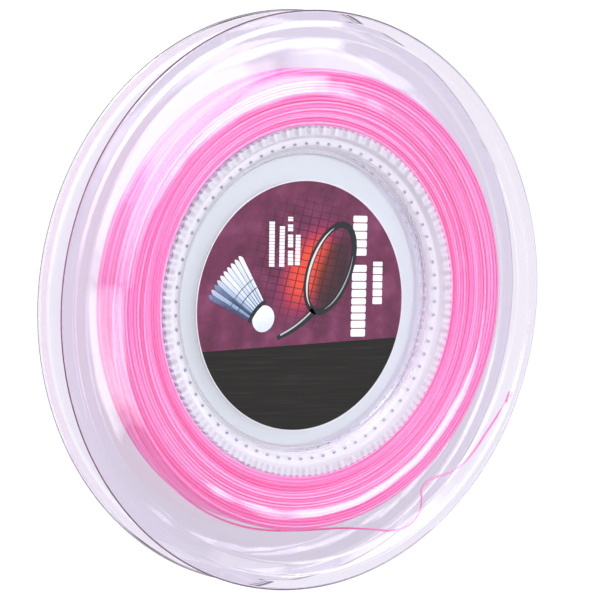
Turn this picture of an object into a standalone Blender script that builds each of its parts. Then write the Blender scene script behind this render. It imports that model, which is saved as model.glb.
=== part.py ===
"""Two-part clear reel holding 200 m of badminton string, lying flat with its label up.

Frame: the reel's axis is +Z, the label faces +Z and its top edge points to +Y.
The origin is on the axis, level with the lip that the reel rests on.
"""
import math

import bmesh
import bpy
from mathutils import Vector

MM = 0.001

# Driving dimensions, in millimetres
REEL_RADIUS = 88.0
LIP_HEIGHT = 7.9          # mid-plane to the crest of either lip
FLANGE_INNER = 5.8        # mid-plane to a flange's inner face
FLANGE_THICKNESS = 1.1
FLOOR_INNER = 0.9         # mid-plane to the inner face of the recessed floor
FLOOR_THICKNESS = 1.2
FLOOR_RADIUS = 44.6
LEDGE_HEIGHT = 5.0        # mid-plane to the ledge round the recess
TOOTH_COUNT = 72
TOOTH_WIDTH_DEG = 2.1
TOOTH_INNER_RADIUS = 51.0
TOOTH_OUTER_RADIUS = 52.9
TOOTH_LENGTH = 11.2
STUD_INNER_RADIUS = 47.2
STUD_OUTER_RADIUS = 48.1
STUD_HEIGHT = 0.5
GAP = 0.3                 # left between pieces that touch

LABEL_RADIUS = 38.1
LABEL_THICKNESS = 0.25
LABEL_CENTRE = (-1.0, -1.5)   # the paper was stuck on slightly low and to the left

WINDING_OUTER_RADIUS = 69.4
WINDING_SLUMP = 4.4           # how much further the turns hang out on their loose side
WINDING_SLUMP_DEG = 12.0
WINDING_STEPS = 72
WINDING_CHAMFER = 0.7

STRING_DIAMETER = 0.66
TAIL_POINT_SPACING = 2.0
TAIL_SIDES_RESOLUTION = 2

# The free end of the string: radius, angle in degrees and height above the mid-plane
TAIL_ROUTE = (
    (70.65, 268.0, -0.9),
    (71.2, 275.5, -0.9),
    (73.7, 286.0, -0.9),
    (78.4, 294.0, -1.0),
    (83.4, 299.6, -1.1),
    (85.3, 303.4, -1.0),
    (84.3, 306.8, -0.6),
    (81.4, 308.8, -0.2),
    (78.4, 309.9, 0.1),
    (77.3, 312.0, 0.5),
    (78.6, 314.8, 1.0),
    (80.9, 317.6, 1.8),
    (82.6, 321.4, 2.9),
    (82.9, 325.6, 3.9),
    (83.0, 330.0, 4.5),
    (84.2, 335.2, 4.8),
    (86.2, 340.4, 4.9),
)

FLANGE_OUTER = FLANGE_INNER + FLANGE_THICKNESS
FLOOR_OUTER = FLOOR_INNER + FLOOR_THICKNESS
LEDGE_UNDERSIDE = LEDGE_HEIGHT - FLANGE_THICKNESS
LIP_UNDERSIDE = LIP_HEIGHT - 1.2
TOOTH_PITCH_DEG = 360.0 / TOOTH_COUNT

# Turned outline of one half, radius and height, from the axis over the outside to the axis inside
OUTSIDE = (
    (FLOOR_RADIUS, FLOOR_OUTER),
    (STUD_INNER_RADIUS, LEDGE_HEIGHT),
    (STUD_OUTER_RADIUS, LEDGE_HEIGHT),
    (49.6, LEDGE_HEIGHT),
    (50.4, FLANGE_OUTER),
    (79.5, FLANGE_OUTER),
    (83.0, LIP_HEIGHT),
    (84.8, LIP_HEIGHT),
    (87.3, 7.2),
    (REEL_RADIUS, 6.5),
)
INSIDE = (
    (87.0, 5.95),
    (84.7, LIP_UNDERSIDE),
    (82.9, LIP_UNDERSIDE),
    (79.9, FLANGE_INNER),
    (TOOTH_OUTER_RADIUS, FLANGE_INNER),
    (TOOTH_INNER_RADIUS, FLANGE_INNER),
    (50.6, FLANGE_INNER),
    (50.2, LEDGE_UNDERSIDE),
    (47.8, LEDGE_UNDERSIDE),
    (FLOOR_RADIUS + 0.6, FLOOR_INNER),
)
TOOTH_RING = len(OUTSIDE) + 4     # the outline's step that the teeth grow from
STUD_RING = 1                     # and the one that the studs stand on


def clear_scene():
    for old in list(bpy.data.objects):
        bpy.data.objects.remove(old)


def make_material(name, colour, roughness, metallic=0.0, transmission=0.0):
    material = bpy.data.materials.new(name)
    material.use_nodes = True
    shader = material.node_tree.nodes["Principled BSDF"]
    shader.inputs["Base Color"].default_value = (*colour, 1.0)
    shader.inputs["Roughness"].default_value = roughness
    shader.inputs["Metallic"].default_value = metallic
    shader.inputs["Transmission Weight"].default_value = transmission
    return material


def add_object(name, mesh, material):
    piece = bpy.data.objects.new(name, mesh)
    bpy.context.collection.objects.link(piece)
    mesh.materials.append(material)
    return piece


def polar(radius, angle, height):
    """A point in metres from a radius and height in millimetres and an angle in radians."""
    return Vector((radius * math.cos(angle) * MM, radius * math.sin(angle) * MM, height * MM))


def tooth_angles():
    """The two edges of every tooth, so that sectors take turns: tooth, space, tooth, space."""
    half = math.radians(TOOTH_WIDTH_DEG) / 2
    angles = []
    for index in range(TOOTH_COUNT):
        middle = math.radians(index * TOOTH_PITCH_DEG)
        angles += [middle - half, middle + half]
    return angles


def bridge_rings(bm, lower, upper):
    """Join two rings of equal length with quads, and return them in sector order."""
    count = len(lower)
    faces = []
    for index in range(count):
        after = (index + 1) % count
        faces.append(bm.faces.new((lower[index], lower[after], upper[after], upper[index])))
    return faces


def cap_ring(bm, ring, centre):
    middle = bm.verts.new(centre)
    for index, corner in enumerate(ring):
        bm.faces.new((corner, ring[(index + 1) % len(ring)], middle))


def grow_faces(bm, faces, height):
    """Raise each face on its own, straight along the axis, with walls round it."""
    grown = bmesh.ops.extrude_discrete_faces(bm, faces=faces)
    corners = {corner for face in grown["faces"] for corner in face.verts}
    bmesh.ops.translate(bm, verts=list(corners), vec=(0.0, 0.0, height * MM))


def finish_mesh(bm, name, sharp_deg=25.0):
    bmesh.ops.recalc_face_normals(bm, faces=bm.faces)
    mesh = bpy.data.meshes.new(name)
    bm.to_mesh(mesh)
    bm.free()
    mesh.shade_smooth()
    mesh.set_sharp_from_angle(angle=math.radians(sharp_deg))
    return mesh


def half_mesh():
    """One moulded half: floor, recess wall, studded ledge, flange, rolled lip and hub teeth."""
    bm = bmesh.new()
    angles = tooth_angles()
    rings = []
    for radius, height in OUTSIDE + INSIDE:
        rings.append([bm.verts.new(polar(radius, angle, height)) for angle in angles])
    bands = [bridge_rings(bm, rings[step], rings[step + 1]) for step in range(len(rings) - 1)]
    cap_ring(bm, rings[0], (0.0, 0.0, FLOOR_OUTER * MM))
    cap_ring(bm, rings[-1], (0.0, 0.0, FLOOR_INNER * MM))
    grow_faces(bm, bands[TOOTH_RING][::2], -TOOTH_LENGTH)
    grow_faces(bm, bands[STUD_RING][::2], STUD_HEIGHT)
    return finish_mesh(bm, "reel_half")


def make_halves(middle, plastic):
    """Both halves are the same moulding; the lower one is turned over and its teeth mesh."""
    mesh = half_mesh()
    front = add_object("front_half", mesh, plastic)
    front.location = (0.0, 0.0, middle)
    rear = bpy.data.objects.new("rear_half", mesh)
    bpy.context.collection.objects.link(rear)
    rear.location = (0.0, 0.0, middle)
    rear.rotation_euler = (math.pi, 0.0, math.radians(TOOTH_PITCH_DEG / 2))
    return front, rear


def make_label(front, paper):
    """The round paper label, in the recess of the front half."""
    bpy.ops.mesh.primitive_cylinder_add(
        vertices=96, radius=LABEL_RADIUS * MM, depth=LABEL_THICKNESS * MM)
    label = bpy.context.object
    label.name = "front_label"
    label.data.materials.append(paper)
    height = FLOOR_OUTER + GAP + LABEL_THICKNESS / 2
    label.location = (LABEL_CENTRE[0] * MM, LABEL_CENTRE[1] * MM, height * MM)
    label.parent = front
    return label


def winding_radius(angle):
    """The winding's outer radius: even nearly all the way, and slumped outwards on one side."""
    side = (1.0 + math.cos(angle - math.radians(WINDING_SLUMP_DEG))) / 2
    return WINDING_OUTER_RADIUS + WINDING_SLUMP * side ** 2


def make_winding(middle, string):
    """All the turns of string as one closed ring, between the flanges and round the teeth."""
    bore = TOOTH_OUTER_RADIUS + GAP
    half = FLANGE_INNER - GAP
    cut = WINDING_CHAMFER
    bm = bmesh.new()
    sections = []
    for step in range(WINDING_STEPS):
        angle = 2 * math.pi * step / WINDING_STEPS
        outer = winding_radius(angle)
        outline = (
            (bore, -half), (outer - 2 * cut, -half), (outer, -half + 2 * cut),
            (outer, half - 2 * cut), (outer - 2 * cut, half), (bore, half),
        )
        sections.append([bm.verts.new(polar(radius, angle, height)) for radius, height in outline])
    for step in range(WINDING_STEPS):
        bridge_rings(bm, sections[step], sections[(step + 1) % WINDING_STEPS])
    winding = add_object("string_winding", finish_mesh(bm, "string_winding"), string)
    winding.location = (0.0, 0.0, middle)
    return winding


def smooth_route(points, spacing):
    """Evenly spaced points on a Catmull-Rom curve through the given ones."""
    ends = [2 * points[0] - points[1], *points, 2 * points[-1] - points[-2]]
    fine = []
    for index in range(1, len(ends) - 2):
        before, start, stop, after = ends[index - 1:index + 3]
        for part in range(40):
            t = part / 40
            fine.append(0.5 * (2 * start + (stop - before) * t
                               + (2 * before - 5 * start + 4 * stop - after) * t ** 2
                               + (3 * start - before - 3 * stop + after) * t ** 3))
    fine.append(points[-1])
    total = sum((b - a).length for a, b in zip(fine, fine[1:]))
    count = max(2, round(total / spacing))
    route = [fine[0]]
    walked = 0.0
    for a, b in zip(fine, fine[1:]):
        walked += (b - a).length
        if walked >= total * len(route) / count and len(route) < count:
            route.append(b)
    route.append(fine[-1])
    return route


def make_tail(middle, string):
    """The free end of the string, sprung out of the winding and caught under the front lip."""
    points = [polar(radius, math.radians(angle), height) for radius, angle, height in TAIL_ROUTE]
    route = smooth_route(points, TAIL_POINT_SPACING * MM)
    curve = bpy.data.curves.new("string_tail", "CURVE")
    curve.dimensions = "3D"
    curve.bevel_depth = STRING_DIAMETER / 2 * MM
    curve.bevel_resolution = TAIL_SIDES_RESOLUTION
    curve.use_fill_caps = True
    spline = curve.splines.new("POLY")
    spline.points.add(len(route) - 1)
    for point, place in zip(spline.points, route):
        point.co = (*place, 1.0)
    tail = bpy.data.objects.new("string_tail", curve)
    bpy.context.collection.objects.link(tail)
    curve.materials.append(string)
    tail.location = (0.0, 0.0, middle)
    return tail


def main():
    clear_scene()
    middle = LIP_HEIGHT * MM
    plastic = make_material("clear_polystyrene", (0.86, 0.86, 0.92), 0.08, transmission=0.9)
    paper = make_material("printed_paper", (0.13, 0.03, 0.07), 0.35)
    string = make_material("pink_nylon", (0.95, 0.24, 0.60), 0.3)
    front, _ = make_halves(middle, plastic)
    make_label(front, paper)
    make_winding(middle, string)
    make_tail(middle, string)


main()
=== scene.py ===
import math
import bpy
import numpy as np
from mathutils import Matrix, Vector


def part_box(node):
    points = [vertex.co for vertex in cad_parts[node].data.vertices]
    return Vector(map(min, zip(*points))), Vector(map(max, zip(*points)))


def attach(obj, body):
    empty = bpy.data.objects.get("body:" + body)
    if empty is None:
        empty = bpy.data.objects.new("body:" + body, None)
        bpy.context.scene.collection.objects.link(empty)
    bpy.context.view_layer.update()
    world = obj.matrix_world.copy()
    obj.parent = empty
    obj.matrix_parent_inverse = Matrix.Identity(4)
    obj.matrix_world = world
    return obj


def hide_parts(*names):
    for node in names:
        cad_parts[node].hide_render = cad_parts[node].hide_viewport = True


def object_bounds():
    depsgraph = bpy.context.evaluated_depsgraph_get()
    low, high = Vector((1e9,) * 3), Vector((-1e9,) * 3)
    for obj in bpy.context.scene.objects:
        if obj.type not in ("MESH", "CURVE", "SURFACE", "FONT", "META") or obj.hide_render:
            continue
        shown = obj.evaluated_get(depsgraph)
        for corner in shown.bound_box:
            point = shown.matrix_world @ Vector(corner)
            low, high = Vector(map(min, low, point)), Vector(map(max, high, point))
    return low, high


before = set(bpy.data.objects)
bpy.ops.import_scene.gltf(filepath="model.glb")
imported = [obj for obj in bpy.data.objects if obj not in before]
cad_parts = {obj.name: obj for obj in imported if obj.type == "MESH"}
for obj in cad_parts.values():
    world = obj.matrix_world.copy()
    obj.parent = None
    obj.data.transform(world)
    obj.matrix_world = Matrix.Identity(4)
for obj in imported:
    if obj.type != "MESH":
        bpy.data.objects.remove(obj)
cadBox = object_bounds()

mm = 0.001
middle = (cadBox[0][2] + cadBox[1][2]) / 2    # the reel's mid-plane, halfway between the lips
off, on = (0, 0, 0, 1), (1, 1, 1, 1)          # the ends of a mask; the shapes below are in millimetres


def colour(code):
    # sRGB hex to linear RGBA: each channel c becomes ((c + 0.055) / 1.055) ** 2.4, or c / 12.92 when dark
    shares = [int(code[i:i + 2], 16) / 255 for i in (1, 3, 5)]
    return tuple(c / 12.92 if c <= 0.04045 else ((c + 0.055) / 1.055) ** 2.4 for c in shares) + (1.0,)


def grey(level):
    return (level, level, level, 1.0)


def addNode(tree, kind, inputs=None, **settings):
    # one node with its settings, its plain values and its links; stops are a colour ramp's own
    item = tree.nodes.new("ShaderNode" + kind)
    stops = settings.pop("stops", None)
    for key, value in settings.items():
        setattr(item, key, value)
    if stops:
        marks = item.color_ramp.elements
        while len(marks) < len(stops):
            marks.new(0.5)
        for mark, (place, tint) in zip(marks, stops):
            mark.position, mark.color = place, tint
    for key, value in (inputs or {}).items():
        if isinstance(value, bpy.types.NodeSocket):
            tree.links.new(value, item.inputs[key])
        else:
            item.inputs[key].default_value = value
    return item


def newMaterial(name):
    material = bpy.data.materials.new(name)
    material.use_nodes = True
    material.node_tree.nodes.clear()
    return material, material.node_tree


def finishMaterial(tree, shader):
    addNode(tree, "OutputMaterial", {"Surface": shader})


def meshObject(name, points, faces, material, uv=None, sharpDeg=None):
    # faces is a list of arrays, each of quads or of triangles; uv is one pair for each point
    mesh = bpy.data.meshes.new(name)
    corners = np.concatenate([block.ravel() for block in faces]).astype(np.int32)
    sizes = np.concatenate([np.full(len(block), block.shape[1]) for block in faces])
    starts = np.concatenate([[0], np.cumsum(sizes)[:-1]]).astype(np.int32)
    mesh.vertices.add(len(points))
    mesh.vertices.foreach_set("co", np.ascontiguousarray(points, dtype=np.float32).ravel())
    mesh.loops.add(len(corners))
    mesh.loops.foreach_set("vertex_index", corners)
    mesh.polygons.add(len(starts))
    mesh.polygons.foreach_set("loop_start", starts)
    mesh.update(calc_edges=True)
    if uv is not None:
        layer = mesh.uv_layers.new(name="UVMap")
        layer.data.foreach_set("uv", np.ascontiguousarray(uv[corners], dtype=np.float32).ravel())
    mesh.shade_smooth()
    if sharpDeg:
        mesh.set_sharp_from_angle(angle=math.radians(sharpDeg))
    mesh.materials.append(material)
    item = bpy.data.objects.new(name, mesh)
    bpy.context.collection.objects.link(item)
    return item


def gridFaces(rows, columns, closed):
    # quads between neighbouring rows; with closed, the last column joins the first again
    across = np.arange(columns if closed else columns - 1)
    row, column = np.meshgrid(np.arange(rows - 1), across, indexing="ij")
    after = (column + 1) % columns
    quads = np.stack([row * columns + column, row * columns + after,
                      (row + 1) * columns + after, (row + 1) * columns + column], axis=-1)
    return quads.reshape(-1, 4)


def poleFans(rows, columns):
    # triangles from the first and last row of a closed grid to a pole each, added after its points
    column = np.arange(columns)
    after = (column + 1) % columns
    low = (rows - 1) * columns
    return [np.stack([column, after, np.full(columns, rows * columns)], axis=1),
            np.stack([low + after, low + column, np.full(columns, rows * columns + 1)], axis=1)]


cameraPlan = dict(
    place=(-0.5251, 0.0687, 0.7482), tipDeg=-5.30, swingDeg=-35.24, lens=180.0, sensor=36.0)

cameraData = bpy.data.cameras.new("camera")
cameraData.lens = cameraPlan["lens"]
cameraData.sensor_width = cameraPlan["sensor"]
camera = bpy.data.objects.new("camera", cameraData)
bpy.context.collection.objects.link(camera)
camera.matrix_world = (Matrix.Translation(cameraPlan["place"])
                       @ Matrix.Rotation(math.radians(cameraPlan["tipDeg"]), 4, "X")
                       @ Matrix.Rotation(math.radians(cameraPlan["swingDeg"]), 4, "Y"))
bpy.context.scene.camera = camera
print("camera placed")


def pinkNylon():
    # Extruded and coated nylon in a fluorescent pink, even right through, with a glossy skin and slightly
    # lighter and darker turns. Its faint pink emission is painted glow, which brightens the string under
    # any light
    material, tree = newMaterial("pinkNylonExtruded")
    uvMap = addNode(tree, "UVMap")
    stretch = addNode(tree, "Mapping", {"Vector": uvMap.outputs["UV"], "Scale": (1.0, 0.35, 1.0)})
    slow = addNode(tree, "TexNoise", {"Vector": stretch.outputs[0], "Scale": 2.4, "Detail": 2.0})
    tint = addNode(tree, "ValToRGB", {"Fac": slow.outputs[0]},
                   stops=[(0.36, colour("#F75CA9")), (0.5, colour("#FF8CCA")), (0.64, colour("#FFC2E4"))])
    shader = addNode(tree, "BsdfPrincipled", {
        "Base Color": tint.outputs[0], "Roughness": 0.32, "IOR": 1.53,
        "Subsurface Weight": 0.3, "Subsurface Radius": (1.0, 0.45, 0.7), "Subsurface Scale": 0.0006,
        "Coat Weight": 0.3, "Coat Roughness": 0.25,
        # painted glow: a steady pink emission that no lamp gives
        "Emission Color": colour("#FF62B8"), "Emission Strength": 0.16})
    finishMaterial(tree, shader.outputs[0])
    return material


stringPlan = dict(
    diameter=0.66,               # badminton string, in mm
    reelLength=200.0,            # metres on a full reel, the loose end included
    halfTraverse=5.38,           # how far the string's centre goes either side of the mid-plane
    turnsPerLayer=15.6, turnBack=0.06,   # share of a layer spent turning back at a flange
    boreRadius=53.2,             # where the first turn lies, round the teeth
    outerRadius=69.4, slump=4.4, slumpDeg=12.0,
    waveSize=0.16, swaySize=0.12, seed=24,
    meanRadius=0.0623,           # in metres, for a first guess at the number of turns
    samplesPerTurn=96, sides=6, pieces=4,
    looseEnd=(                   # radius, angle in degrees, height above the mid-plane
        (70.65, 268.0, -0.9), (71.2, 275.5, -0.9), (73.7, 286.0, -0.9), (78.4, 294.0, -1.0),
        (83.4, 299.6, -1.1), (85.3, 303.4, -1.0), (84.3, 306.8, -0.6), (81.4, 308.8, -0.2),
        (78.4, 309.9, 0.1), (77.3, 312.0, 0.5), (78.6, 314.8, 1.0), (80.9, 317.6, 1.8),
        (82.6, 321.4, 2.9), (82.9, 325.6, 3.9), (83.0, 330.0, 4.5), (84.2, 335.2, 4.8),
        (86.2, 340.4, 4.9)),
)


def smoothRoute(points, spacing):
    # Catmull-Rom curve through the points, then resampled so that its points are evenly spaced
    points = np.asarray(points)
    ends = np.vstack([2 * points[0] - points[1], points, 2 * points[-1] - points[-2]])
    t = np.linspace(0, 1, 40, endpoint=False)[None, :, None]
    a, b, c, d = (ends[i:len(ends) - 3 + i][:, None, :] for i in range(4))
    fine = 0.5 * (2 * b + (c - a) * t + (2 * a - 5 * b + 4 * c - d) * t ** 2
                  + (3 * b - a - 3 * c + d) * t ** 3)
    fine = np.vstack([fine.reshape(-1, 3), points[-1:]])
    walked = np.concatenate([[0], np.cumsum(np.linalg.norm(np.diff(fine, axis=0), axis=1))])
    stops = np.linspace(0, walked[-1], max(2, round(walked[-1] / spacing)) + 1)
    return np.stack([np.interp(stops, walked, fine[:, i]) for i in range(3)], axis=1), walked[-1]


def placed(radius, angle, height):
    # millimetres and radians round the axis to metres in the frame
    return np.stack([radius * np.cos(angle) * mm, radius * np.sin(angle) * mm,
                     height * mm + middle], axis=-1)


def makeLooseEnd(plan, material):
    # The free end of the string: it springs out of the winding and catches under the front lip
    radius, degrees, height = np.array(plan["looseEnd"]).T
    route, length = smoothRoute(placed(radius, np.radians(degrees), height), 2 * mm)
    curve = bpy.data.curves.new("loose_end", "CURVE")
    curve.dimensions = "3D"
    curve.bevel_depth = plan["diameter"] / 2 * mm
    curve.bevel_resolution = 3
    curve.use_fill_caps = True
    spline = curve.splines.new("POLY")
    spline.points.add(len(route) - 1)
    spline.points.foreach_set("co", np.column_stack([route, np.ones(len(route))]).ravel())
    curve.materials.append(material)
    item = bpy.data.objects.new("loose_end", curve)
    bpy.context.collection.objects.link(item)
    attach(item, "rear")
    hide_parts("string_tail")
    print(f"loose end made, {length * 1000:.1f} mm long")
    return length


nylon = pinkNylon()
looseLength = makeLooseEnd(stringPlan, nylon)


def outerEdge(angle, plan):
    # radius of the outermost turn: even nearly all the way, and slumped outwards on one side
    side = (1 + np.cos(angle - math.radians(plan["slumpDeg"]))) / 2
    return plan["outerRadius"] + plan["slump"] * side ** 2 - plan["diameter"] / 2


def windingPath(plan, turns):
    # One string from bore to outside. Its height runs to and fro between the flanges, one way in
    # each layer, and its radius steps up by a layer as it turns back at a flange. Low waves that
    # change slowly from layer to layer keep the turns uneven but side by side.
    endAngle = math.radians(plan["looseEnd"][0][1])
    count = int(round(turns * plan["samplesPerTurn"])) + 1
    turned = np.linspace(0, turns, count)
    angle = endAngle + 2 * math.pi * (turned - turns)
    layers = turns / plan["turnsPerLayer"]
    layer = turned / plan["turnsPerLayer"]
    step = np.floor(layer)
    within = layer - step
    dwell = plan["turnBack"]
    across = np.clip((within - dwell / 2) / (1 - dwell), 0, 1)
    height = np.where(step % 2 < 1, 2 * across - 1, 1 - 2 * across) * plan["halfTraverse"]
    rise = np.clip((within - 1 + dwell) / dwell, 0, 1)
    climbed = (step + rise * rise * (3 - 2 * rise)) / layers
    inner = plan["boreRadius"] + plan["diameter"] / 2
    outer = outerEdge(angle, plan)
    random = np.random.default_rng(plan["seed"])
    wave = np.zeros(count)
    sway = np.zeros(count)
    for order in range(1, 7):
        drift, twist = random.uniform(-3, 3, 2)
        wavePhase, swayPhase = random.uniform(0, 6.28, 2)
        wave += plan["waveSize"] / order ** 0.5 * np.sin(order * angle + drift * climbed * 6 + wavePhase)
        sway += plan["swaySize"] / order ** 0.5 * np.sin(order * angle + twist * climbed * 6 + swayPhase)
    knots = random.normal(0, 1, int(turns * 3) + 4)
    own = np.interp(turned * 3, np.arange(len(knots)), knots)      # each turn's own small wander
    radius = inner + climbed * (outer - inner) + wave * np.minimum(climbed * 4, 1) * 0.8 + own * 0.04
    radius = np.clip(radius, inner, outer + 0.1)
    height = height - np.sign(height) * np.abs(sway) * 0.5 + own * 0.03
    height = np.clip(height, -plan["halfTraverse"], plan["halfTraverse"])
    leave = np.clip((turned - turns + 0.3) / 0.3, 0, 1)            # the last third of a turn lifts off
    leave = leave * leave * (3 - 2 * leave)
    radius += (plan["looseEnd"][0][0] - radius) * leave
    height += (plan["looseEnd"][0][2] - height) * leave
    return radius, angle, height


def pathLength(radius, angle, height):
    return np.linalg.norm(np.diff(placed(radius, angle, height), axis=0), axis=1).sum()


def makeWinding(plan, material, woundLength):
    turns = woundLength / (2 * math.pi * plan["meanRadius"])
    for _ in range(4):
        turns *= woundLength / pathLength(*windingPath(plan, turns))
    radius, angle, height = windingPath(plan, turns)
    print(f"winding: {turns:.1f} turns, {pathLength(radius, angle, height):.2f} m")
    sides = plan["sides"]
    section = np.arange(sides) / sides * 2 * math.pi
    bounds = np.linspace(0, len(radius) - 1, plan["pieces"] + 1).astype(int)
    for index in range(plan["pieces"]):
        part = slice(bounds[index], bounds[index + 1] + 1)
        r = radius[part, None] + plan["diameter"] / 2 * np.cos(section)
        z = height[part, None] + plan["diameter"] / 2 * np.sin(section)
        a = np.broadcast_to(angle[part, None], r.shape)
        points = placed(r, a, z).reshape(-1, 3)
        rows = len(radius[part])
        quads = gridFaces(rows, sides, True)
        first, last = np.arange(sides), (rows - 1) * sides + np.arange(sides)
        caps = [np.array([[first[0], first[i + 1], first[i]] for i in range(1, sides - 1)]),
                np.array([[last[0], last[i], last[i + 1]] for i in range(1, sides - 1)])]
        # u counts turns from the bore and v goes round the reel, both smooth, for the turns' own tints
        along = (np.arange(bounds[index], bounds[index + 1] + 1) / plan["samplesPerTurn"])[:, None]
        uv = np.stack([np.broadcast_to(along, r.shape),
                       np.broadcast_to(section / 6.283, r.shape)], axis=-1)
        item = meshObject(f"string_turns_{index + 1}", points, [quads[:, ::-1]] + caps, material,
                          uv=uv.reshape(-1, 2))
        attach(item, "rear")
        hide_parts("string_winding")


makeWinding(stringPlan, nylon, stringPlan["reelLength"] - looseLength)


def clearPolystyrene(plan):
    # Injection-moulded clear polystyrene: a faint lavender cast, a polished skin, and slow moulding
    # waves about 18 mm across that bend the highlights. The recess is satin. The ledge and teeth are
    # matt, so they scatter white. Dark purple dots at the slots between teeth and at the studs, and faint
    # stripes on the teeth's flanks, are painted shade and refraction colour, put where prisms would
    # darken and tint the light. The recess and the rim are tinted darker than the rest: painted shade,
    # and on the rim a pink cast that is painted bounce light from the string.
    material, tree = newMaterial("clearPolystyreneMoulded")
    place = addNode(tree, "TexCoord").outputs["Object"]
    waves = addNode(tree, "TexNoise", {"Vector": place, "Scale": 55.0, "Detail": 1.0})
    bump = addNode(tree, "Bump", {"Height": waves.outputs[0], "Strength": 0.06, "Distance": 0.002})
    flat = addNode(tree, "Mapping", {"Vector": place, "Scale": (10, 10, 0)}).outputs[0]
    radius = addNode(tree, "VectorMath", {0: flat}, operation="LENGTH").outputs["Value"]   # 0.1 m is 1
    xyz = addNode(tree, "SeparateXYZ", {0: flat})
    angle = addNode(tree, "Math", {0: xyz.outputs[1], 1: xyz.outputs[0]}, operation="ARCTAN2").outputs[0]
    shade = None
    # painted shade: dark dots and stripes round the hub, where the teeth and studs would darken the light
    for count, start, stop, width, strength in plan["paintedShadeDots"]:
        around = addNode(tree, "Math", {0: angle, 1: count / (2 * math.pi)},
                         operation="MULTIPLY").outputs[0]
        wrapped = addNode(tree, "Math", {0: around, 1: 0.5}, operation="PINGPONG").outputs[0]
        across = addNode(tree, "ValToRGB", {"Fac": wrapped},
                         stops=[(width / 2, on), (width / 2 + 0.08, off)]).outputs[0]
        band = addNode(tree, "ValToRGB", {"Fac": radius}, stops=[
            (start - 0.001, off), (start + 0.001, grey(strength)),
            (stop - 0.001, grey(strength)), (stop + 0.001, off)]).outputs[0]
        dots = addNode(tree, "Math", {0: across, 1: band}, operation="MULTIPLY").outputs[0]
        shade = dots if shade is None else addNode(
            tree, "Math", {0: shade, 1: dots}, operation="MAXIMUM").outputs[0]
    # painted shade: the recess is greyer and the rim darker than the clear body, and the rim's pink cast
    # is painted bounce light from the string
    body = addNode(tree, "ValToRGB", {"Fac": radius}, stops=[
        (plan["panelTo"] - 0.005, colour(plan["panelShadeTint"])),
        (plan["panelTo"] + 0.005, colour(plan["tint"])),
        (plan["mattTo"], colour(plan["tint"])), (plan["rimFrom"], colour(plan["rimShadeAndBounceTint"]))]).outputs[0]
    # the painted shade pulls the colour towards a dark purple
    tint = addNode(tree, "Mix", {0: shade, 6: body, 7: colour(plan["paintedShadeViolet"])},
                   data_type="RGBA").outputs[2]
    start, stop = plan["mattFrom"], plan["mattTo"]
    matt = addNode(tree, "ValToRGB", {"Fac": radius}, stops=[
        (start - 0.002, off), (start + 0.002, on), (stop - 0.002, on), (stop + 0.002, off)]).outputs[0]
    satin, smooth, frosted = (
        grey(plan[key]) for key in ("panelRoughness", "roughness", "mattRoughness"))
    rough = addNode(tree, "ValToRGB", {"Fac": radius}, stops=[
        (0.0, satin), (plan["panelTo"] - 0.005, satin), (plan["panelTo"] + 0.005, smooth),
        (start - 0.002, smooth), (start + 0.002, frosted),
        (stop - 0.002, frosted), (stop + 0.002, smooth)]).outputs[0]
    through = addNode(tree, "MapRange", {0: matt, 3: 1.0, 4: plan["mattTransmission"]}).outputs[0]
    clear = addNode(tree, "BsdfPrincipled", {
        "Base Color": tint, "Roughness": rough, "IOR": 1.59,
        "Transmission Weight": through, "Normal": bump.outputs[0]})
    # the thin edges of a clear moulding look pale, not black: light comes through them from all round
    facing = addNode(tree, "LayerWeight", {"Blend": 0.5}).outputs["Facing"]
    edge = addNode(tree, "ValToRGB", {"Fac": facing}, stops=[(0.86, off), (0.97, grey(0.85))]).outputs[0]
    pale = addNode(tree, "BsdfTransparent", {"Color": colour("#DCD8EC")})
    clear = addNode(tree, "MixShader", {0: edge, 1: clear.outputs[0], 2: pale.outputs[0]})
    path = addNode(tree, "LightPath")                # and a thin clear wall casts hardly any shadow
    letThrough = addNode(tree, "BsdfTransparent", {"Color": colour("#F6F4FA")})
    mix = addNode(tree, "MixShader", {
        0: path.outputs["Is Shadow Ray"], 1: clear.outputs[0], 2: letThrough.outputs[0]})
    finishMaterial(tree, mix.outputs[0])
    return material


plasticPlan = dict(
    # the recess's and rim's tints are painted shade, and the rim's pink cast is painted bounce light from
    # the string; the plain tint is the plastic's own
    tint="#F7F6FA", panelShadeTint="#ECEFF4", rimShadeAndBounceTint="#EDE9F2", paintedShadeViolet="#7C6FAC",
    # count, radii in 0.1 m, width, strength of the painted shade dots and stripes: ends of the teeth,
    # studs of the ledge, flanks of the teeth
    paintedShadeDots=((144, 0.5262, 0.531, 0.36, 0.8), (72, 0.476, 0.4815, 0.15, 0.85),
              (144, 0.506, 0.5235, 0.42, 0.2)),
    panelTo=0.45, mattFrom=0.464, mattTo=0.53, rimFrom=0.76,        # radii in 0.1 m too
    roughness=0.02, panelRoughness=0.28, mattRoughness=0.34, mattTransmission=0.60,
)


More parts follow.
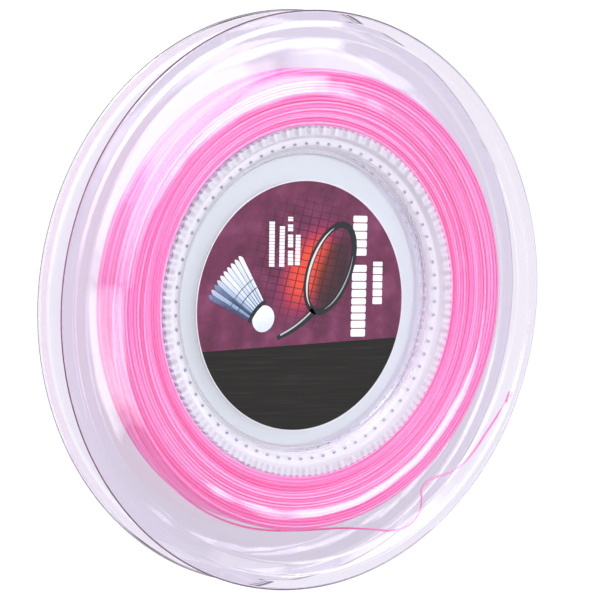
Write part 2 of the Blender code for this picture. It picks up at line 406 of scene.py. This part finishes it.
halfPlan = dict(
    teeth=72, toothLength=11.2, toothHalfDeg=1.10, toothEdgeDeg=0.13,
    studHeight=0.5, studHalfDeg=0.50, studEdgeDeg=0.14,
    crown=0.75, crownFrom=51.0, crownTo=79.5,          # the flange's low arch and its radii
    floorOut=2.1, floorIn=0.9, ledgeOut=5.0, flangeOut=6.9, flangeIn=5.8,    # heights from the mid-plane
    # stations in one tooth's 5 degrees: tooth edges, stud edges and the space between teeth
    stations=(-2.5, -1.10, -0.97, -0.50, -0.36, 0.36, 0.50, 0.97, 1.10),
    # radius, height, fillet radius and fillet steps, from the axis over the outside to the lip's edge
    outside=((0.0, 2.1, 0, 0), (44.6, 2.1, 1.4, 5), (47.2, 5.0, 0.45, 4), (49.6, 5.0, 0.45, 4),
             (50.4, 6.9, 0.45, 4), (79.5, 6.9, 3.0, 4), (83.0, 7.9, 2.0, 4), (84.8, 7.9, 2.0, 4),
             (87.3, 7.2, 1.0, 3), (88.0, 6.5, 0.3, 4)),
    inside=((87.0, 5.95, 0.4, 3), (84.7, 6.7, 1.2, 4), (82.9, 6.7, 1.2, 4), (79.9, 5.8, 2.0, 4),
            (50.6, 5.8, 0.15, 2), (50.2, 3.9, 0.4, 3), (47.8, 3.9, 0.5, 3), (45.2, 0.9, 0.8, 4),
            (0.0, 0.9, 0, 0)),
    studRows=((47.5, 0.0), (47.62, 1.0), (48.1, 1.0), (48.22, 0.0)),
    toothRows=((52.94, 0.0), (52.85, 0.97), (52.72, 1.0), (52.0, 1.0), (51.12, 1.0),
               (50.97, 0.97), (50.88, 0.0)),
)


def roundedOutline(corners):
    # each corner is replaced by a circular arc that touches both of its sides
    rows = [corners[0][:2]]
    for before, here, after in zip(corners, corners[1:], corners[2:]):
        point = np.array(here[:2])
        back = np.array(before[:2]) - point
        on = np.array(after[:2]) - point
        back, on = back / np.linalg.norm(back), on / np.linalg.norm(on)
        turn = math.pi - math.acos(np.clip(back @ on, -1, 1))
        reach = here[2] * math.tan(turn / 2)
        centre = point + (back + on) / np.linalg.norm(back + on) * here[2] / math.cos(turn / 2)
        start, stop = point + back * reach - centre, point + on * reach - centre
        for share in np.linspace(0, 1, here[3] + 1):
            swing = turn * share
            rows.append(tuple(centre + (start * math.sin(turn - swing) + stop * math.sin(swing))
                              / math.sin(turn)))
    rows.append(corners[-1][:2])
    return rows


def halfRows(plan):
    # (radius, height, stud share, tooth share) for each row of the half's outline
    outline = roundedOutline(plan["outside"] + plan["inside"])
    rows = [(r, z, 0.0, 0.0) for r, z in outline]
    split = max(range(len(rows)), key=lambda i: rows[i][0])      # the lip's outermost row
    outer, inner = rows[:split + 1], rows[split + 1:]
    outer += [(r, plan["ledgeOut"], share, 0.0) for r, share in plan["studRows"]]
    outer += [(r, plan["flangeOut"], 0.0, 0.0) for r in np.linspace(52.0, 78.4, 13)]
    outer += [(r, plan["floorOut"], 0.0, 0.0) for r in (14.0, 40.0)]
    inner += [(r, plan["flangeIn"], 0.0, share) for r, share in plan["toothRows"]]
    inner += [(r, plan["flangeIn"], 0.0, 0.0) for r in np.linspace(54.0, 78.4, 12)]
    inner += [(r, plan["floorIn"], 0.0, 0.0) for r in (40.0, 14.0)]
    return sorted(outer, key=lambda row: row[0]), sorted(inner, key=lambda row: -row[0])


def makeHalf(name, body, material, plan, turnedOver):
    # A grid of outline rows by stations round the axis. The height at each place is the outline's,
    # plus the flange's crown, less a tooth or plus a stud where both the row and the station are on it.
    outer, inner = halfRows(plan)
    rows = np.array(outer[1:] + inner[:-1])              # the two rows at the axis become poles
    pitch = 360 / plan["teeth"]
    station = np.array(plan["stations"])
    degrees = (np.arange(plan["teeth"])[:, None] * pitch + station).ravel()
    aside = np.abs(np.tile(station, plan["teeth"]))
    onTooth = np.clip((plan["toothHalfDeg"] - aside) / plan["toothEdgeDeg"], 0, 1)
    onStud = np.clip((plan["studHalfDeg"] - aside) / plan["studEdgeDeg"], 0, 1)
    radius, height, stud, tooth = rows.T
    span = np.clip((radius - plan["crownFrom"]) / (plan["crownTo"] - plan["crownFrom"]), 0, 1)
    height = height + plan["crown"] * np.sin(math.pi * span) ** 2 * (height > 5.5)
    z = (height[:, None] + plan["studHeight"] * stud[:, None] * onStud
         - plan["toothLength"] * np.minimum(tooth[:, None], onTooth))
    angle = np.radians(degrees)[None, :] * np.ones_like(z)
    r = radius[:, None] * np.ones_like(z)
    x, y = r * np.cos(angle), r * np.sin(angle)
    columns, count = len(degrees), len(rows)
    points = np.stack([x, y, z], axis=-1).reshape(-1, 3)
    points = np.vstack([points, [[0, 0, outer[0][1]], [0, 0, inner[-1][1]]]])
    if turnedOver:                                       # half a turn about X, then half a tooth round
        turn = math.radians(pitch / 2)
        px, py, pz = points[:, 0], -points[:, 1], -points[:, 2]
        points = np.stack([px * math.cos(turn) - py * math.sin(turn),
                           px * math.sin(turn) + py * math.cos(turn), pz], axis=-1)
    points = points * mm + (0, 0, middle)
    faces = [gridFaces(count, columns, True)[:, ::-1]] + poleFans(count, columns)
    item = meshObject(name + "_shell", points, faces, material, sharpDeg=30)
    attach(item, body)
    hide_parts(name)
    print(f"{name}: {count} rows by {columns} columns")


polystyrene = clearPolystyrene(plasticPlan)
makeHalf("front_half", "front", polystyrene, halfPlan, False)
makeHalf("rear_half", "rear", polystyrene, halfPlan, True)


labelPlan = dict(
    dividerAt=-13.25, dividerDeg=3.1,          # where charcoal meets the wine-red ground
    glowAt=(1.2, 9.5), glowSize=(11.5, 19.0), glowDeg=-30.0,
    netAt=(0.0, 12.0), netSize=26.0, netPitch=(3.3, 2.2), netDeg=(-13.0, -9.0),
    shadowAt=(9.8, 8.2), shadowSize=(7.0, 16.0), shadowDeg=-20.0,
    inkLift=0.03,
)


def printedPaper(plan, centre, radius, top):
    # Offset-printed coated paper: a wine-red ground over charcoal under a satin varnish, mottled as
    # cheap print is, with a red glow and a fine dark net. Distances are in millimetres.
    material, tree = newMaterial("printedPaperCoated")
    place = addNode(tree, "TexCoord").outputs["Object"]
    scaled = addNode(tree, "Mapping", {"Vector": place, "Scale": (1000, 1000, 1000)}).outputs[0]

    mottle = addNode(tree, "TexNoise", {"Vector": scaled, "Scale": 0.16, "Detail": 6.0}).outputs[0]
    paint = addNode(tree, "ValToRGB", {"Fac": mottle}, stops=[
        (0.32, colour("#62334A")), (0.52, colour("#733A57")), (0.72, colour("#854869"))]).outputs[0]

    def ellipse(at, size, degrees=0.0):
        # 1 in the middle of an ellipse, falling evenly to 0 at its edge
        spot = addNode(tree, "Mapping", {
            "Vector": scaled, "Location": (at[0], at[1], top), "Scale": (size[0], size[1], 1e4),
            "Rotation": (0, 0, math.radians(degrees))}, vector_type="TEXTURE")
        return addNode(tree, "TexGradient", {0: spot.outputs[0]},
                       gradient_type="SPHERICAL").outputs["Fac"]

    glow = ellipse(plan["glowAt"], plan["glowSize"], plan["glowDeg"])
    heat = addNode(tree, "ValToRGB", {"Fac": glow}, stops=[
        (0.0, colour("#7C3D62")), (0.3, colour("#A33C58")), (0.62, colour("#E8523F"))]).outputs[0]
    fade = addNode(tree, "ValToRGB", {"Fac": glow}, stops=[(0.0, off), (0.35, on)]).outputs[0]
    paint = addNode(tree, "Mix", {0: fade, 6: paint, 7: heat}, data_type="RGBA").outputs[2]

    lines = None
    for pitch, degrees, way in zip(plan["netPitch"], plan["netDeg"], "XY"):
        turned = addNode(tree, "Mapping", {"Vector": scaled, "Rotation": (0, 0, math.radians(degrees))},
                         vector_type="TEXTURE").outputs[0]
        wave = addNode(tree, "TexWave", {
            "Vector": turned, "Scale": 2 * math.pi / (20 * pitch), "Distortion": 0.0},
            bands_direction=way).outputs["Fac"]
        line = addNode(tree, "ValToRGB", {"Fac": wave}, stops=[(0.93, off), (0.985, on)]).outputs[0]
        lines = line if lines is None else addNode(
            tree, "Math", {0: lines, 1: line}, operation="MAXIMUM").outputs[0]
    near = addNode(tree, "ValToRGB", {"Fac": ellipse(plan["netAt"], (plan["netSize"],) * 2)},
                   stops=[(0.1, off), (0.55, grey(0.8))]).outputs[0]
    lines = addNode(tree, "Math", {0: lines, 1: near}, operation="MULTIPLY").outputs[0]
    paint = addNode(tree, "Mix", {0: lines, 6: paint, 7: colour("#4A1E36")}, data_type="RGBA").outputs[2]

    dark = ellipse(plan["shadowAt"], plan["shadowSize"], plan["shadowDeg"])
    dusk = addNode(tree, "ValToRGB", {"Fac": dark},
                   stops=[(0.0, off), (0.45, grey(0.8))]).outputs[0]
    paint = addNode(tree, "Mix", {0: dusk, 6: paint, 7: colour("#33302E")}, data_type="RGBA").outputs[2]

    smear = addNode(tree, "Mapping", {"Vector": scaled, "Scale": (0.05, 1.6, 1.0),
                                      "Rotation": (0, 0, 0.05)}).outputs[0]
    scuff = addNode(tree, "TexNoise", {"Vector": smear, "Scale": 1.0, "Detail": 4.0}).outputs[0]
    charcoal = addNode(tree, "ValToRGB", {"Fac": scuff}, stops=[
        (0.35, colour("#232220")), (0.6, colour("#292826")), (0.8, colour("#373633"))]).outputs[0]
    level = addNode(tree, "Mapping", {
        "Vector": scaled, "Location": (0, plan["dividerAt"], 0),
        "Rotation": (0, 0, math.radians(plan["dividerDeg"]))}, vector_type="TEXTURE").outputs[0]
    height = addNode(tree, "SeparateXYZ", {0: level}).outputs[1]
    under = addNode(tree, "Math", {0: height, 1: 0.0}, operation="LESS_THAN").outputs[0]
    paint = addNode(tree, "Mix", {0: under, 6: paint, 7: charcoal}, data_type="RGBA").outputs[2]

    cut = addNode(tree, "Math", {0: ellipse(centre, (radius, radius)), 1: 0.007},
                  operation="LESS_THAN").outputs[0]           # the bare white edge of the paper
    paint = addNode(tree, "Mix", {0: cut, 6: paint, 7: colour("#EFECEF")}, data_type="RGBA").outputs[2]
    fibres = addNode(tree, "TexNoise", {"Vector": scaled, "Scale": 1.2, "Detail": 3.0}).outputs[0]
    bump = addNode(tree, "Bump", {"Height": fibres, "Strength": 0.15, "Distance": 0.00003})
    shader = addNode(tree, "BsdfPrincipled", {
        "Base Color": paint, "Roughness": 0.55, "IOR": 1.45, "Specular IOR Level": 0.22,
        "Normal": bump.outputs[0]})
    finishMaterial(tree, shader.outputs[0])
    return material


def printingInk(name, stops):
    # Offset ink under the same varnish: its tint runs along v, and speckles a little
    material, tree = newMaterial(name)
    place = addNode(tree, "TexCoord")
    along = addNode(tree, "SeparateXYZ", {0: place.outputs["UV"]}).outputs[1]
    speckle = addNode(tree, "TexNoise", {"Vector": place.outputs["Object"], "Scale": 900.0}).outputs[0]
    shift = addNode(tree, "MapRange", {0: speckle, 3: -0.09, 4: 0.09}).outputs[0]
    value = addNode(tree, "Math", {0: along, 1: shift}, operation="ADD").outputs[0]
    tint = addNode(tree, "ValToRGB", {"Fac": value},
                   stops=[(mark, colour(code)) for mark, code in stops]).outputs[0]
    shader = addNode(tree, "BsdfPrincipled", {
        "Base Color": tint, "Roughness": 0.5, "IOR": 1.45, "Specular IOR Level": 0.22})
    finishMaterial(tree, shader.outputs[0])
    return material


def inkPlates(name, outlines, material, low, high):
    # Each outline (x, y and tint in mm and shares, anticlockwise) is raised into a closed thin plate
    points, uvs, faces, start = [], [], [], 0
    for outline in outlines:
        outline = np.asarray(outline, dtype=float)
        count = len(outline)
        for level in (high, low):
            points.append(np.column_stack([outline[:, :2], np.full(count, level)]) * mm)
            uvs.append(np.column_stack([np.zeros(count), outline[:, 2]]))
        ring = np.arange(count) + start
        after = np.roll(ring, -1)
        faces.append(ring[None, :])
        faces.append((ring + count)[::-1][None, :])
        faces.append(np.stack([ring + count, after + count, after, ring], axis=1))
        start += 2 * count
    item = meshObject(name, np.vstack(points), faces, material, uv=np.vstack(uvs), sharpDeg=30)
    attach(item, "front")


def ribbon(points, widths, tint, closed=False):
    # outlines of short plates along a line: each is as wide as the line is there
    points = np.asarray(points, dtype=float)
    widths = np.broadcast_to(np.asarray(widths, dtype=float), len(points))
    if closed:
        points = np.vstack([points, points[:1]])
        widths = np.append(widths, widths[0])
        way = np.roll(points[:-1], -1, axis=0) - np.roll(points[:-1], 1, axis=0)
        way = np.vstack([way, way[:1]])
    else:
        way = np.gradient(points, axis=0)
    side = np.stack([-way[:, 1], way[:, 0]], axis=1)
    side = side / np.linalg.norm(side, axis=1)[:, None] * widths[:, None] / 2
    left, right = points + side, points - side
    tints = np.broadcast_to(np.asarray(tint, dtype=float), len(points))
    return [[(*right[i], tints[i]), (*right[i + 1], tints[i + 1]),
             (*left[i + 1], tints[i + 1]), (*left[i], tints[i])] for i in range(len(points) - 1)]


def block(x, y, width, height, tint=1.0, lean=0.0, cut=0.25):
    # a plain printed bar with clipped corners, leaning sideways by lean for each mm of height
    corners = [(cut, 0), (width - cut, 0), (width, cut), (width, height - cut),
               (width - cut, height), (cut, height), (0, height - cut), (0, cut)]
    return [(x + a + lean * b, y + b, tint) for a, b in corners]


def makePrint(plan, top):
    lift = plan["inkLift"]
    # rows of plain bars where such labels carry their wording
    bars = []
    random = np.random.default_rng(5)
    rows = (   # lower left corner, width, upper end, lean, bar height range, chance of a wider gap
        (17.9, -11.0, 5.5, 12.0, -0.035, (1.9, 2.5), 0.0),
        (17.0, 13.9, 5.3, 26.7, -0.035, (1.9, 2.4), 0.0),
        (25.6, -1.0, 3.6, 12.1, -0.045, (1.8, 2.2), 0.0),
        (-13.8, 10.3, 2.0, 24.0, -0.05, (0.7, 1.1), 0.16),
        (-10.1, 10.3, 1.9, 22.6, -0.04, (0.7, 1.1), 0.1),
        (-6.9, 10.8, 1.9, 25.4, -0.06, (0.7, 1.1), 0.12),
        (-4.3, 10.8, 1.8, 20.1, -0.03, (0.7, 1.1), 0.0))
    for x, low, width, high, lean, heights, chance in rows:
        y = low
        while y < high - heights[0] / 2:
            height = min(random.uniform(*heights), high - y)
            bars.append(block(x + (y - low) * lean, y, width, height, lean=lean, cut=width / 18))
            y += height + (heights[0] * 0.16 if random.random() >= chance else 1.0)
    white = printingInk("whiteInk", [(0.0, "#D9D6DC"), (1.0, "#F6F4F8")])
    inkPlates("print_bars", bars, white, top - 0.02, top + lift)

    # a shuttlecock: ten feathers in a fan, two threads, a dark band and a round cork
    tip, axis = np.array([-11.6, -8.2]), np.array([-0.758, 0.652])
    side = np.array([-axis[1], axis[0]])

    def at(along, across, tint):
        return (*(tip + axis * along + side * across), tint)

    feathers, count = [], 10
    for index in range(count):
        a, b = (2 * index / count - 1) * 0.985, (2 * (index + 1) / count - 1) * 0.985
        tone = 0.95 if index < 6 else (0.62, 0.34, 0.55, 0.3)[index - 6]
        tone = tone - 0.12 * (index % 2)
        reach = 23.6 + 1.0 * math.cos((a + b) * 0.8)
        near = [at(8.2, 4.1 * a, tone - 0.15), at(8.2, 4.1 * b, tone - 0.35)]
        far = [at(reach - 1.1, 8.6 * b - 0.05, tone - 0.1)]
        for t in np.linspace(0.85, 0.15, 5):
            far.append(at(reach - 1.1 + 1.5 * math.sin(math.pi * t), 8.6 * (a + (b - a) * t), tone))
        far.append(at(reach - 1.1, 8.6 * a + 0.12, tone))
        feathers.append((near + far)[::-1])
    quill = printingInk("featherInk", [
        (0.0, "#3F4F6E"), (0.35, "#8FA9CC"), (0.7, "#D3DFF0"), (1.0, "#F7F9FD")])
    inkPlates("print_feathers", [f[::-1] for f in feathers], quill, top - 0.02, top + lift)
    dark = []
    for along, bow, width in ((12.6, 0.8, 0.32), (15.4, 1.0, 0.28)):
        half = 4.1 + (along - 8.2) * 4.5 / 15.4
        arc = [tip + axis * (along + bow * math.cos(t * 1.5)) + side * half * t
               for t in np.linspace(-0.97, 0.97, 13)]
        dark += ribbon(arc, width, 0.45)
    for index in range(1, count):
        a = (2 * index / count - 1) * 0.985
        line = [tip + axis * along + side * a * (4.1 + (along - 8.2) * 4.5 / 15.4)
                for along in np.linspace(8.3, 22.0 - 3.0 * (index % 2), 6)]
        dark += ribbon(line, np.linspace(0.26, 0.08, 6), 0.5)
    band = [tip + axis * (7.3 + 0.9 * math.cos(t * 1.4)) + side * 4.3 * t for t in np.linspace(-1, 1, 13)]
    dark += ribbon(band, 1.25, 0.15)
    turn = np.linspace(0, 2 * math.pi, 33)[:-1]
    cork = [(*(tip + axis * (4.3 + 3.9 * math.cos(t)) + side * 4.15 * math.sin(t)),
             0.86 + 0.14 * math.sin(t + 2.2)) for t in turn]
    inkPlates("print_cork", [cork], quill, top - 0.02, top + lift)

    # a plain racket: dark frame and shaft with a silver glint
    centre, halfLength, halfWidth = np.array([8.9, 10.0]), 14.0, 7.4
    lean = math.radians(68)
    way, across = np.array([math.cos(lean), math.sin(lean)]), np.array([-math.sin(lean), math.cos(lean)])
    turn = np.linspace(0, 2 * math.pi, 65)[:-1]
    ring = centre + np.outer(np.cos(turn) * halfLength, way) + np.outer(np.sin(turn) * halfWidth, across)
    dark += ribbon(ring, 2.0, 0.1, closed=True)
    foot = centre - way * halfLength
    shaft = [foot + (np.array([-9.5, -11.2]) - foot) * t + np.array([0.6, -0.6]) * math.sin(t * 3)
             for t in np.linspace(0.0, 1.0, 12)]
    dark += ribbon(shaft, np.linspace(2.6, 1.3, 12), 0.12)
    blackInk = printingInk("blackInk", [(0.0, "#232622"), (0.3, "#3A3F4C"), (1.0, "#8A93A8")])
    inkPlates("print_racket", dark, blackInk, top - 0.02, top + lift + 0.01)
    glint = []
    part = (turn > 0.5) & (turn < 2.9)
    inner = (centre + np.outer(np.cos(turn) * (halfLength - 0.25), way)
             + np.outer(np.sin(turn) * (halfWidth - 0.25), across))
    glint += ribbon(inner[part], np.sin(np.linspace(0.15, 3.0, part.sum())) * 0.8, 0.9)
    part = (turn > 3.6) & (turn < 5.3)
    glint += ribbon(inner[part], np.sin(np.linspace(0.15, 3.0, part.sum())) * 0.5, 0.5)
    glint += ribbon([p + np.array([-0.3, 0.35]) for p in shaft[1:-1]], 0.5, 0.7)
    silver = printingInk("silverInk", [(0.0, "#59605C"), (0.5, "#9AA5A2"), (1.0, "#E4EBEA")])
    inkPlates("print_glints", glint, silver, top, top + lift + 0.02)
    print("print made")


def makeLabel(material):
    low, high = (np.array(corner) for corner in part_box("front_label"))
    centre = (low + high) / 2
    radius = (high[0] - low[0]) / 2
    edge = 0.08 * mm
    profile = np.array([(radius * 0.2, high[2]), (radius - edge, high[2]), (radius, high[2] - edge),
                        (radius, low[2] + edge), (radius - edge, low[2]), (radius * 0.2, low[2])])
    columns = 128
    angle = np.arange(columns) / columns * 2 * math.pi
    x = centre[0] + profile[:, :1] * np.cos(angle)
    y = centre[1] + profile[:, :1] * np.sin(angle)
    z = np.broadcast_to(profile[:, 1:], x.shape)
    points = np.stack([x, y, z], axis=-1).reshape(-1, 3)
    count = len(profile)
    points = np.vstack([points, [[centre[0], centre[1], high[2]], [centre[0], centre[1], low[2]]]])
    faces = [gridFaces(count, columns, True)[:, ::-1]] + poleFans(count, columns)
    item = meshObject("printed_label", points, faces, material, sharpDeg=40)
    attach(item, "front")
    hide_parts("front_label")
    print("label made")


labelLow, labelHigh = (np.array(corner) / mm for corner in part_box("front_label"))
labelCentre = tuple((labelLow + labelHigh)[:2] / 2)
paper = printedPaper(labelPlan, labelCentre, (labelHigh - labelLow)[0] / 2, labelHigh[2])
makeLabel(paper)
makePrint(labelPlan, labelHigh[2])


lightPlan = dict(
    worldTint="#F4F2F8", worldNear=1.05, worldFar=0.75,      # brightness behind the camera and opposite
    floorTint="#7E7D82", floorGlow=0.80,
    # softboxes: name, middle, size, turn in degrees about the upright, brightness; they face down
    boxes=(("windowBox", (0.490, 0.095, 1.0), (0.20, 0.30), 0.0, 3.6),
           ("veilBox", (0.640, 0.065, 1.0), (0.15, 0.19), 0.0, 5.5),
           ("stripBox", (0.800, -0.195, 1.0), (0.26, 0.080), 15.0, 6.5),
           ("sideBox", (0.400, -0.150, 1.0), (0.12, 0.14), 0.0, 3.4),
           ("farBox", (0.830, 0.225, 1.0), (0.34, 0.05), 0.0, 2.0)),
    feather=(0.8, 0.94, 1.07, 1.2),      # each box is a stack of these sizes, so that its edge is soft
    keyPlace=(-0.25, 1.0, 0.95), keySize=0.45, keyBrightness=13.0,
)


def makeStage(plan):
    # White acrylic with light behind it, as under clear products: pale, with hardly a shadow
    material, tree = newMaterial("whiteAcrylicBacklit")
    shader = addNode(tree, "BsdfPrincipled", {
        "Base Color": colour(plan["floorTint"]), "Roughness": 0.7,
        "Emission Color": (1, 1, 1, 1), "Emission Strength": plan["floorGlow"]})
    finishMaterial(tree, shader.outputs[0])
    corners = np.array([(-3, -3, 0), (3, -3, 0), (3, 3, 0), (-3, 3, 0)], dtype=float)
    floor = meshObject("floor", corners, [np.array([[0, 1, 2, 3]])], material)
    # a soft sky: brighter behind the camera than opposite it, evenly between the two
    world = bpy.data.worlds.new("studio")
    world.use_nodes = True
    tree = world.node_tree
    way = addNode(tree, "SeparateXYZ", {0: addNode(tree, "TexCoord").outputs["Generated"]})
    level = addNode(tree, "MapRange", {
        0: way.outputs[0], 1: -1.0, 2: 0.8, 3: plan["worldNear"], 4: plan["worldFar"]})
    sky = tree.nodes["Background"]
    sky.inputs["Color"].default_value = colour(plan["worldTint"])
    tree.links.new(level.outputs[0], sky.inputs["Strength"])
    bpy.context.scene.world = world


def addSoftbox(name, place, size, brightness):
    # a lamp's watts are its brightness times pi times its area
    data = bpy.data.lights.new(name, "AREA")
    data.shape = "RECTANGLE"
    data.size, data.size_y = size
    data.energy = brightness * math.pi * size[0] * size[1]
    lamp = bpy.data.objects.new(name, data)
    lamp.location = place
    bpy.context.collection.objects.link(lamp)
    return lamp


def makeSoftboxes(plan):
    for name, place, size, degrees, brightness in plan["boxes"]:
        for step, grow in enumerate(plan["feather"]):
            lamp = addSoftbox(f"{name}{step}", (place[0], place[1], place[2] + 0.001 * step),
                              (size[0] * grow, size[1] * grow), brightness / len(plan["feather"]))
            lamp.rotation_euler = (0, 0, math.radians(degrees))
    key = addSoftbox("keyBox", plan["keyPlace"], (plan["keySize"],) * 2, plan["keyBrightness"])
    key.rotation_euler = (-Vector(plan["keyPlace"])).to_track_quat("-Z", "Y").to_euler()


makeStage(lightPlan)
makeSoftboxes(lightPlan)
bpy.context.scene.view_settings.view_transform = "Standard"
bpy.context.scene.cycles.max_bounces = 32              # light crosses many walls of clear plastic
bpy.context.scene.cycles.transmission_bounces = 32
bpy.context.scene.cycles.transparent_max_bounces = 32
print("stage and light set")
